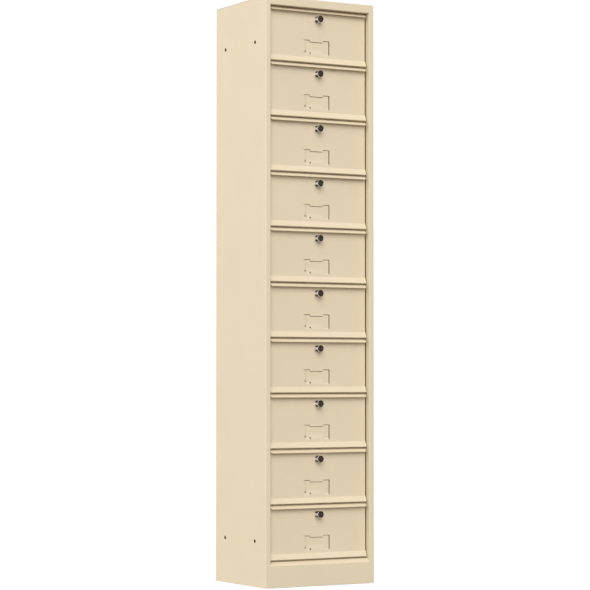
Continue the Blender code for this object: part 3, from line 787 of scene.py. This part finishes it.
class SorterFlaps(bpy.types.Operator):
    """Fold the flaps with their pulls, label pockets, lips, hinge rolls and side flanges"""
    bl_idname = "sorter.flaps"
    bl_label = "Flaps"

    def execute(self, context):
        points, quads = self.blank(context.scene.sorter_casing, context.scene.sorter_flap)
        for number in NUMBERS:
            axis = np.array(JOINTS[f"flap_{number}_hinge"]["pos_m"])
            sheet_piece(f"flap_{number}_folded", points + axis, quads, f"flap_door_{number}", f"flap_{number}")
        return {"FINISHED"}

    def blank(self, casing, flap):
        """One flap about its hinge axis: a lattice carried along the section, then warped.

        Rows run along the path of (y, z) from the pull's edge over the crest, down the face and the lip to its
        edge, and from there round the roll, which both the lip and the edge's far side touch. The pull's ends
        narrow linearly towards its edge; the face's sides fold back between notches; the two rows along the
        pocket's slit dip by the thumb scoop; and the pocket's plate goes back by its sink times a smooth step
        from the left and one from below. The gap below the flap lies under the roll by the roll's lift.
        """
        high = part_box("flap_1")[1]
        axis = Vector(JOINTS["flap_1_hinge"]["pos_m"])
        lock = Vector(JOINTS["lock_1_turn"]["pos_m"]) - axis
        pitch = JOINTS["flap_1_hinge"]["pos_m"][2] - JOINTS["flap_2_hinge"]["pos_m"][2]
        half = casing.sheet / 2
        rise = flap.roll_radius + half + flap.roll_lift
        gap = pitch - rise
        face = lock.y + half
        edge = (lock.y - flap.pull_reach, gap - flap.pull_drop)
        lip = np.array((face, flap.lip_top - rise))
        far = np.linalg.norm(lip)
        begin = math.atan2(lip[1], lip[0]) + math.acos(flap.roll_radius / far)
        touch = flap.roll_radius * np.array((math.cos(begin), math.sin(begin)))
        hem = touch + flap.lip_edge * (touch - lip) / np.linalg.norm(touch - lip)
        start = 2 * math.atan(flap.lip_edge / flap.roll_radius)
        turn = begin + np.linspace(start, flap.roll_turn, ROLL_STEPS + 1)
        roll = flap.roll_radius * np.stack([np.cos(turn), np.sin(turn)], 1)
        bends = [edge, (face, gap - flap.crest), lip, hem, roll[0]]
        path = np.concatenate([rounded(bends, casing.bend), roll[1:]])
        run = run_along(path)
        top = BEND_STEPS + 1
        row_at = lambda height: run[top] + path[top, 1] - np.asarray(height)

        label_top = gap - flap.label_drop
        label_foot = label_top - flap.label_height
        slit = row_at(np.array([label_top + flap.label_slit, label_top]))
        calm = row_at(label_top + np.array([1, -1]) * flap.scoop_reach)
        foot_row = float(row_at(label_foot))
        steps = np.linspace(0, 1, FADE_STEPS + 1)
        feet = foot_row - np.concatenate([flap.ear_height * steps, flap.label_fade * steps])
        nicks = row_at(label_top - flap.nick_drop - flap.nick_step * np.array([0, 1]))
        nick = flap.nick / 2
        flanged = row_at(np.array([gap - flap.flange_high, flap.flange_low - rise]))
        notch = flanged + np.array([-1, 1]) * flap.relief
        reach = flap.lock_hole * LOCK_HOLE_SQUARE
        lock_row = float(row_at(lock.z))
        rows = merged(run, slit, calm, feet, flanged, notch, nicks - nick, nicks + nick, block(lock_row, reach))

        left = flap.label_shift - flap.label_width / 2
        right = flap.label_shift + flap.label_width / 2
        far_right = right + flap.side_slit
        mouth, foot = flap.scoop_width / 2, flap.scoop_width / 2 - flap.scoop_slope
        dip = flap.label_shift + np.array([-mouth, -foot, foot, mouth])
        ears = np.array([left + flap.ear_width, left + flap.ear_width + flap.ear_end,
                         right - flap.ear_width - flap.ear_end, right - flap.ear_width])
        nicked = np.array([left + flap.nick, ears[1] + flap.nick / 2])
        fold_at = high.x - half - casing.bend
        columns = merged(fold_lines(fold_at, casing.bend, flap.side_flange - casing.bend),
                         left + flap.label_slope * steps, dip, ears, (right, far_right),
                         nicked - nick, nicked + nick, block(0.0, reach))
        middle = ((rows[:-1] + rows[1:]) / 2)[:, None]
        place = (columns[:-1] + columns[1:]) / 2
        sides = np.abs(place) > fold_at
        arc_end = fold_at + casing.bend * math.pi / 2
        inside = (middle > flanged[0]) & (middle < flanged[1])
        notched = ~inside & (middle > notch[0]) & (middle < notch[1])
        keep = ~(notched & sides) & (inside | (np.abs(place) < arc_end))
        keep &= ~((middle > slit[0]) & (middle < slit[1]) & (place > left) & (place < far_right))
        keep &= ~((middle > slit[0]) & (middle < foot_row) & (place > right) & (place < far_right))
        for row, column in zip(nicks, nicked):
            keep &= ~((np.abs(middle - row) < nick) & (np.abs(place - column) < nick))
        along, across, quads = lattice(rows, columns, keep, [(lock_row, 0.0, reach, flap.lock_hole)])

        y, z = on_path(path, along)
        folded = (along >= flanged[0] - TINY) & (along <= flanged[1] + TINY)
        sideways, away = side_fold(across, fold_at, high.x - half, casing.bend)
        plain = np.sign(across) * np.interp(np.abs(across), (0, fold_at, arc_end), (0, fold_at, high.x))
        cut = run[1] * flap.pull_taper_rise / (flap.pull_drop - flap.crest)
        plain *= 1 - flap.pull_taper / high.x * np.clip(1 - along / cut, 0, 1)
        x = np.where(folded, sideways, plain)
        y = y + np.where(folded, away, 0.0)

        scoop = np.interp(across, dip, (0, flap.scoop_depth, flap.scoop_depth, 0), left=0, right=0)
        z = z - scoop * np.interp(along, (calm[0], slit[0], slit[1], calm[1]), (0, 1, 1, 0))
        plate = (along >= slit[1] - TINY) & (along <= foot_row + TINY)
        plate &= (across >= left) & (across <= right + TINY)
        ramp = np.interp(across, ears, (flap.ear_height, flap.label_fade, flap.label_fade, flap.ear_height))
        pressed = smooth((across - left) / flap.label_slope) * smooth((foot_row - along) / ramp)
        y = y + np.where(plate, flap.label_sink * pressed, 0.0)
        return np.stack([x, y, z], 1), quads


class SorterRods(bpy.types.Operator):
    """Turn the hinge rods"""
    bl_idname = "sorter.rods"
    bl_label = "Hinge rods"

    def execute(self, context):
        """Circles about X: a chamfer, the bar and a chamfer."""
        flap = context.scene.sorter_flap
        finish = finish_once("drawn_steel", steel_finish)
        chamfer = flap.rod_radius * ROD_CHAMFER
        turn = turn_angles(ROD_STEPS)
        radius = flap.rod_radius - np.array([chamfer, 0, 0, chamfer])[:, None]
        for number in NUMBERS:
            low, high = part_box(f"hinge_rod_{number}")
            length = (high.x - low.x) / 2
            x = np.array([-length, chamfer - length, length - chamfer, length])[:, None]
            loops = np.stack([np.repeat(x, len(turn), 1), radius * np.cos(turn), radius * np.sin(turn)], -1)
            solid_piece(f"hinge_rod_{number}_drawn", *loft(loops), CABINET, f"hinge_rod_{number}",
                        "hinge_rod_steel", finish, (low + high) / 2)
        return {"FINISHED"}


class SorterHousings(bpy.types.Operator):
    """Turn the lock heads with their bezels, bodies and nuts"""
    bl_idname = "sorter.housings"
    bl_label = "Lock heads"

    def execute(self, context):
        casing, lock = context.scene.sorter_casing, context.scene.sorter_lock
        points, faces = joined(loft(self.head(lock), ring=True), loft(self.nut(casing, lock), ring=True))
        finish = finish_once("lock_plate", chrome_finish)
        lock_pieces("lock_housing", "flap_door", "lock_chrome", finish, points, faces)
        return {"FINISHED"}

    def head(self, lock):
        """A closed profile turned about the lock's axis: body, seat, neck, groove, bezel and the stepped bore."""
        bore, mouth = lock.plug_radius + lock.clearance, lock.plug_face_radius + lock.clearance
        body, neck, bezel, proud = lock.body_radius, lock.neck_radius, lock.bezel_radius, lock.proud
        seat = proud - lock.plug_sink - lock.plug_face - lock.clearance
        step = proud - lock.bezel
        groove = step - lock.groove * 2
        profile = [(bore, -lock.body), (body, -lock.body), (body, lock.clearance), (neck, lock.clearance),
                   (neck, groove), (neck - lock.groove, groove), (neck - lock.groove, step), (bezel, step),
                   (bezel, proud - lock.rounding), (bezel - lock.rounding, proud), (mouth, proud), (mouth, seat),
                   (bore, seat)]
        return turned(closed_profile(profile, HEAD_EDGE))

    def nut(self, casing, lock):
        """A ring whose outer radius follows a hexagon, a / cos of the angle from the nearest flat's middle, cut
        back to a circle where its corners are chamfered."""
        front = -(casing.sheet + lock.clearance)
        back = front - lock.nut
        flat = lock.nut_across / 2
        corner = flat / math.cos(math.pi / 6)
        inner = lock.body_radius + lock.clearance / 3
        chamfer = (corner - flat) * NUT_CHAMFER
        profile = [(inner, back), (flat, back), (corner, back + chamfer), (corner, front), (inner, front)]

        def hexagon(radius, turn):
            beside = np.mod(turn + math.pi / 6, math.pi / 3) - math.pi / 6
            return np.minimum(radius, np.maximum(flat / np.cos(beside), inner))
        return turned(profile, hexagon)


class SorterBarrels(bpy.types.Operator):
    """Turn the lock plugs with their keyways, cams and cam screws"""
    bl_idname = "sorter.barrels"
    bl_label = "Lock plugs"

    def execute(self, context):
        lock = context.scene.sorter_lock
        points, faces = joined(loft(self.plug(lock)), loft(self.cam(lock)), loft(self.screw(lock)))
        finish = finish_once("lock_dark_plate", dark_finish)
        lock_pieces("lock_barrel", "lock", "lock_dark_metal", finish, points, faces)
        return {"FINISHED"}

    def plug(self, lock):
        """Loops from the shank's rear end out to the face, in to the keyway's rectangle and down its walls."""
        face = lock.proud - lock.plug_sink
        shoulder, lip = face - lock.plug_face, face - PLUG_EDGE
        rear = -(lock.body + lock.clearance + lock.cam_thickness / 2)
        shank, wide = lock.plug_radius, lock.plug_face_radius
        rim, wall, floor = (lock.keyway_height * part for part in KEY_SINK)
        outside = turned([(shank, rear), (shank, shoulder), (wide, shoulder), (wide, lip),
                          (wide - PLUG_EDGE, face), (rim, face), (wall, lip), (floor, lip)])
        flare = slot_loop(lock.keyway_width * KEY_FLARE[0], lock.keyway_height * KEY_FLARE[1], lip)
        walls = [slot_loop(lock.keyway_width, lock.keyway_height, reach)
                 for reach in (lip - KEY_FLARE_DEPTH, face - lock.keyway_depth)]
        return np.concatenate([outside, [flare, *walls]])

    def cam(self, lock):
        """A round-ended plate behind the nut with its rim broken."""
        half = lock.cam_width / 2
        front = -(lock.body + lock.clearance)
        back = front - lock.cam_thickness
        soft = lock.cam_thickness * CAM_EDGE
        near = 1 - soft / half
        return arm_loops(lock.cam_reach - half, half,
                         [(near, back), (1, back + soft), (1, front - soft), (near, front)])

    def screw(self, lock):
        """A domed head with a driving slot: r shrinks as the head rises, then the slot's loops go down into it."""
        radius = lock.screw_radius
        base = -(lock.body + lock.clearance + lock.cam_thickness * (1 - SCREW_SEAT))
        height = lock.screw_head + lock.cam_thickness * SCREW_SEAT
        rise = np.linspace(SCREW_RIM, 1, DOME_STEPS)
        dome = radius * np.sqrt(1 - ((rise - SCREW_RIM) / (1 - SCREW_RIM) * SCREW_DOME) ** 2)
        outside = turned([(radius, base), *zip(dome, base - height * rise)])
        top = base - height
        slot = [slot_loop(radius * SCREW_SLOT[0], radius * SCREW_SLOT[1], reach)
                for reach in (top, top + height * SCREW_SLOT_DEPTH)]
        return np.concatenate([outside, slot])


class SorterCarried(bpy.types.Operator):
    """Paint the back panel, which keeps its CAD shape"""
    bl_idname = "sorter.carried"
    bl_label = "Back panel"

    def execute(self, context):
        panel = frame["nodes"]["back_panel"].data
        panel.materials.clear()
        panel.materials.append(paint())
        return {"FINISHED"}


class SorterMakeStage(bpy.types.Operator):
    """Set the camera, the soft lamps, the white surroundings and the floor"""
    bl_idname = "sorter.stage"
    bl_label = "Stage"

    def execute(self, context):
        scene = context.scene
        stage = scene.sorter_stage
        scene.view_settings.view_transform = "Standard"
        self.camera(scene, stage)
        self.world(scene, stage)
        self.floor(scene, stage)
        self.lamp(scene, stage, "key", stage.key_from, stage.key_spread, stage.key)
        self.lamp(scene, stage, "side", stage.side_from, stage.side_spread, stage.side)
        return {"FINISHED"}

    def camera(self, scene, stage):
        """Looks along (sin yaw cos pitch, cos yaw cos pitch, sin pitch)."""
        lens = bpy.data.cameras.new("camera")
        lens.lens = stage.lens
        camera = bpy.data.objects.new("camera", lens)
        camera.location = stage.camera
        yaw, pitch = stage.camera_yaw, stage.camera_pitch
        level = math.cos(pitch)
        ahead = Vector((math.sin(yaw) * level, math.cos(yaw) * level, math.sin(pitch)))
        camera.rotation_euler = ahead.to_track_quat("-Z", "Y").to_euler()
        scene.collection.objects.link(camera)
        scene.camera = camera

    def lamp(self, scene, stage, name, towards, wide, strength):
        """A far round lamp that stands in the direction given and shines back along it.

        Seen at half angle h from distance d, a disc of radius d tan h lights a facing surface with the strength s
        when its power is pi s d^2 / cos^2 h.
        """
        far = stage.lamp_distance
        data = bpy.data.lights.new(name, "AREA")
        data.shape = "DISK"
        data.size = 2 * far * math.tan(wide / 2)
        data.energy = math.pi * strength * far ** 2 / math.cos(wide / 2) ** 2
        lamp = bpy.data.objects.new(name, data)
        towards = Vector(towards).normalized()
        lamp.location = (Vector(CAD_BOX[0]) + Vector(CAD_BOX[1])) / 2 + far * towards
        lamp.rotation_euler = towards.to_track_quat("Z", "Y").to_euler()
        lamp.visible_camera = False
        scene.collection.objects.link(lamp)

    def seen_directly(self, tree):
        """1 where a ray comes from the camera, a mirror or glass, and 0 elsewhere."""
        path = tree.nodes.new("ShaderNodeLightPath").outputs
        seen = path["Is Camera Ray"]
        for other in ("Is Glossy Ray", "Is Transmission Ray"):
            seen = node(tree, "ShaderNodeMath", "Value", {0: seen, 1: path[other]}, operation="MAXIMUM")
        return seen

    def blend(self, tree, share_of, first, second, end):
        """Join two shaders to the tree's end node, the second as far as the share says."""
        both = node(tree, "ShaderNodeMixShader", "Shader",
                    {"Fac": share_of, 1: first.outputs[0], 2: second.outputs[0]})
        feed(tree, tree.nodes[end], {"Surface": both})

    def world(self, scene, stage):
        """White where it is seen, softer where it lights."""
        world = bpy.data.worlds.new("white_surroundings")
        world.use_nodes = True
        tree = world.node_tree
        light, seen = tree.nodes["Background"], tree.nodes.new("ShaderNodeBackground")
        feed(tree, light, {"Color": WHITE, "Strength": stage.sky})
        feed(tree, seen, {"Color": WHITE})
        self.blend(tree, self.seen_directly(tree), light, seen, "World Output")
        scene.world = world

    def floor(self, scene, stage):
        """A wide flat square; seen directly it is mostly white, with the object's shadow left in it."""
        far = stage.floor_reach
        mesh = bpy.data.meshes.new("floor")
        mesh.from_pydata([(-far, -far, 0), (far, -far, 0), (far, far, 0), (-far, far, 0)], [], [(0, 1, 2, 3)])
        made, tree, plain = new_finish("pale_floor")
        feed(tree, plain, {"Base Color": (*stage.floor, 1.0), "Roughness": 1.0, "Specular IOR Level": 0.0})
        white = tree.nodes.new("ShaderNodeEmission")
        feed(tree, white, {"Strength": stage.floor_white})
        most = node(tree, "ShaderNodeMath", "Value", {0: self.seen_directly(tree), 1: stage.floor_share},
                    operation="MULTIPLY")
        self.blend(tree, most, plain, white, "Material Output")
        mesh.materials.append(made)
        floor = bpy.data.objects.new("floor", mesh)
        scene.collection.objects.link(floor)


OPERATORS = (SorterSides, SorterTop, SorterPlinth, SorterShelves, SorterFlaps, SorterRods, SorterHousings,
             SorterBarrels, SorterCarried, SorterMakeStage)
GROUPS = {"sorter_casing": SorterCasing, "sorter_flap": SorterFlap, "sorter_lock": SorterLock,
          "sorter_finish": SorterFinish, "sorter_stage": SorterStage}


class SorterPanel(bpy.types.Panel):
    """Lists what builds the sorter, and its sizes"""
    bl_idname = "VIEW3D_PT_sorter"
    bl_label = "Flap door mail sorter"
    bl_space_type = "VIEW_3D"
    bl_region_type = "UI"
    bl_category = "Mail sorter"

    def draw(self, context):
        for operator in OPERATORS:
            self.layout.operator(operator.bl_idname)
        for name in GROUPS:
            box = self.layout.box()
            group = getattr(context.scene, name)
            for key in group.__annotations__:
                box.prop(group, key)


def register():
    for group in GROUPS.values():
        bpy.utils.register_class(group)
    for name, group in GROUPS.items():
        setattr(bpy.types.Scene, name, bpy.props.PointerProperty(type=group))
    for operator in (*OPERATORS, SorterPanel):
        bpy.utils.register_class(operator)


def unregister():
    for operator in (SorterPanel, *reversed(OPERATORS)):
        bpy.utils.unregister_class(operator)
    for name, group in GROUPS.items():
        delattr(bpy.types.Scene, name)
        bpy.utils.unregister_class(group)


def main():
    register()
    bpy.ops.sorter.sides()
    bpy.ops.sorter.top()
    bpy.ops.sorter.plinth()
    bpy.ops.sorter.shelves()
    bpy.ops.sorter.flaps()
    bpy.ops.sorter.rods()
    bpy.ops.sorter.housings()
    bpy.ops.sorter.barrels()
    bpy.ops.sorter.carried()
    bpy.ops.sorter.stage()


if __name__ == "__main__":
    main()
